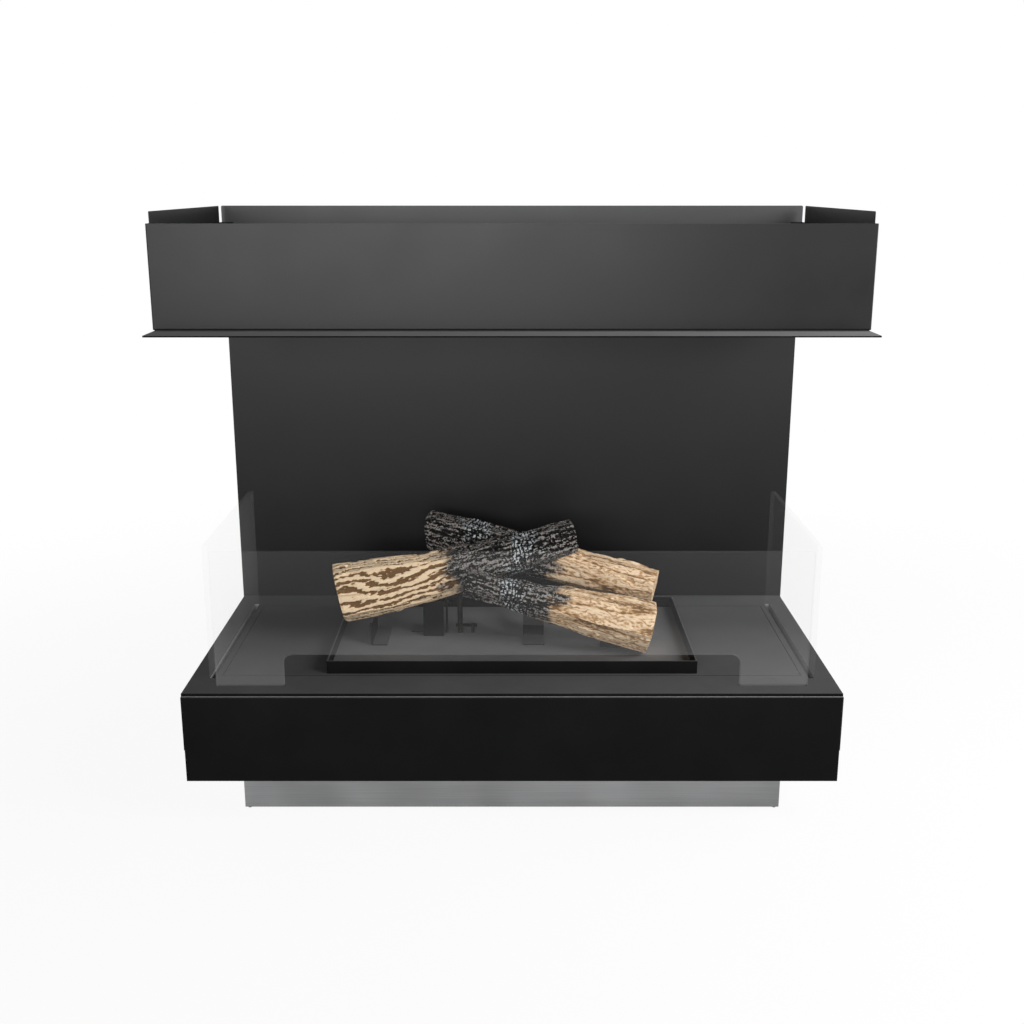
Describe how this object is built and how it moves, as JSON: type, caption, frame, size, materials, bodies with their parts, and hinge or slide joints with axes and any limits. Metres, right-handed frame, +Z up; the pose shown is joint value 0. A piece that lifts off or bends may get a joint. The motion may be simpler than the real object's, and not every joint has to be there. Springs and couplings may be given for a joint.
{
  "type": "three-sided bioethanol fireplace",
  "caption": "Free-standing black steel bioethanol fireplace, open in front and at the sides, with glass screens round a lift-out burner, ceramic logs, a full back panel and an open-topped hood.",
  "frame": {"origin": "on the floor, under the middle of the whole outline", "axes": "+X to the right as seen from the front, +Y towards the back panel, +Z up"},
  "size_m": [1.0006, 0.515, 0.9344],
  "materials": {
    "black_steel": "black fine-texture powder coat on sheet steel",
    "brushed_steel": "horizontally brushed stainless steel",
    "stainless_steel": "plain rolled stainless steel",
    "zinc_steel": "zinc plated steel",
    "dark_rod": "heat-darkened steel rod and clamp",
    "clear_glass": "clear toughened glass, edges bevelled and polished",
    "soft_pad": "black heat-proof silicone strip",
    "ceramic_log": "painted ceramic fibre log, part charred",
    "ceramic_wool": "white ceramic wool"
  },
  "bodies": {
    "cabinet": {"front_fascia": "black_steel", "left_side_panel": "black_steel", "right_side_panel": "black_steel", "left_side_trim": "black_steel", "right_side_trim": "black_steel", "base_floor": "black_steel", "base_top_plate": "black_steel", "cover_ledge": "black_steel", "front_glass_channels": "black_steel", "left_glass_channel": "black_steel", "right_glass_channel": "black_steel", "back_panel": "black_steel", "hood_floor_plate": "black_steel", "hood_front_panel": "black_steel", "hood_left_panel": "black_steel", "hood_right_panel": "black_steel", "plinth_front_skirt": "brushed_steel", "plinth_rear_skirt": "brushed_steel", "plinth_left_skirt": "brushed_steel", "plinth_right_skirt": "brushed_steel", "plinth_corner_blocks": "zinc_steel", "hood_rear_screws": "zinc_steel", "hood_floor_screws": "zinc_steel", "front_glass_pads": "soft_pad", "left_glass_pad": "soft_pad", "right_glass_pad": "soft_pad", "hood_seal": "soft_pad"},
    "burner_module": {"service_cover": "black_steel", "burner_collar": "black_steel", "burner_plate": "black_steel", "fuel_tank": "stainless_steel", "wool_block": "ceramic_wool", "slider_guides": "stainless_steel", "log_bracket_1": "black_steel", "log_bracket_2": "black_steel", "log_bracket_3": "black_steel", "log_bracket_4": "black_steel", "log_bracket_5": "black_steel", "support_post": "dark_rod", "support_pin": "dark_rod", "post_clamp": "dark_rod", "pin_clamp": "dark_rod", "clamp_screw": "dark_rod"},
    "flame_slider_body": {"flame_slider": "stainless_steel"},
    "levelling_screw_front_left_body": {"levelling_screw_front_left": "zinc_steel"},
    "levelling_screw_front_right_body": {"levelling_screw_front_right": "zinc_steel"},
    "levelling_screw_rear_left_body": {"levelling_screw_rear_left": "zinc_steel"},
    "levelling_screw_rear_right_body": {"levelling_screw_rear_right": "zinc_steel"},
    "front_glass_body": {"front_glass": "clear_glass"},
    "left_glass_body": {"left_glass": "clear_glass"},
    "right_glass_body": {"right_glass": "clear_glass"},
    "top_log_body": {"top_log": "ceramic_log"},
    "front_log_body": {"front_log": "ceramic_log"},
    "back_log_body": {"back_log": "ceramic_log"}
  },
  "joints": [
    {"name": "levelling_travel_front_left", "type": "slide", "parent": "cabinet", "child": "levelling_screw_front_left_body", "axis": [0, 0, -1], "range_m": [0, 0.01]},
    {"name": "levelling_travel_front_right", "type": "slide", "parent": "cabinet", "child": "levelling_screw_front_right_body", "axis": [0, 0, -1], "range_m": [0, 0.01]},
    {"name": "levelling_travel_rear_left", "type": "slide", "parent": "cabinet", "child": "levelling_screw_rear_left_body", "axis": [0, 0, -1], "range_m": [0, 0.01]},
    {"name": "levelling_travel_rear_right", "type": "slide", "parent": "cabinet", "child": "levelling_screw_rear_right_body", "axis": [0, 0, -1], "range_m": [0, 0.01]},
    {"name": "front_glass_lift", "type": "slide", "parent": "cabinet", "child": "front_glass_body", "axis": [0, 0, 1], "range_m": [0, 0.06]},
    {"name": "left_glass_lift", "type": "slide", "parent": "cabinet", "child": "left_glass_body", "axis": [0, 0, 1], "range_m": [0, 0.06]},
    {"name": "right_glass_lift", "type": "slide", "parent": "cabinet", "child": "right_glass_body", "axis": [0, 0, 1], "range_m": [0, 0.06]},
    {"name": "burner_module_lift", "type": "slide", "parent": "cabinet", "child": "burner_module", "axis": [0, 0, 1], "range_m": [0, 0.08]},
    {"name": "flame_slider_travel", "type": "slide", "parent": "burner_module", "child": "flame_slider_body", "axis": [1, 0, 0], "range_m": [0, 0.16]},
    {"name": "back_log_lift", "type": "slide", "parent": "burner_module", "child": "back_log_body", "axis": [0, 0, 1], "range_m": [0, 0.12]},
    {"name": "top_log_lift", "type": "slide", "parent": "back_log_body", "child": "top_log_body", "axis": [0, 0, 1], "range_m": [0, 0.14]},
    {"name": "front_log_lift", "type": "slide", "parent": "burner_module", "child": "front_log_body", "axis": [0, -0.2588, 0.9659], "range_m": [0, 0.15]}
  ]
}
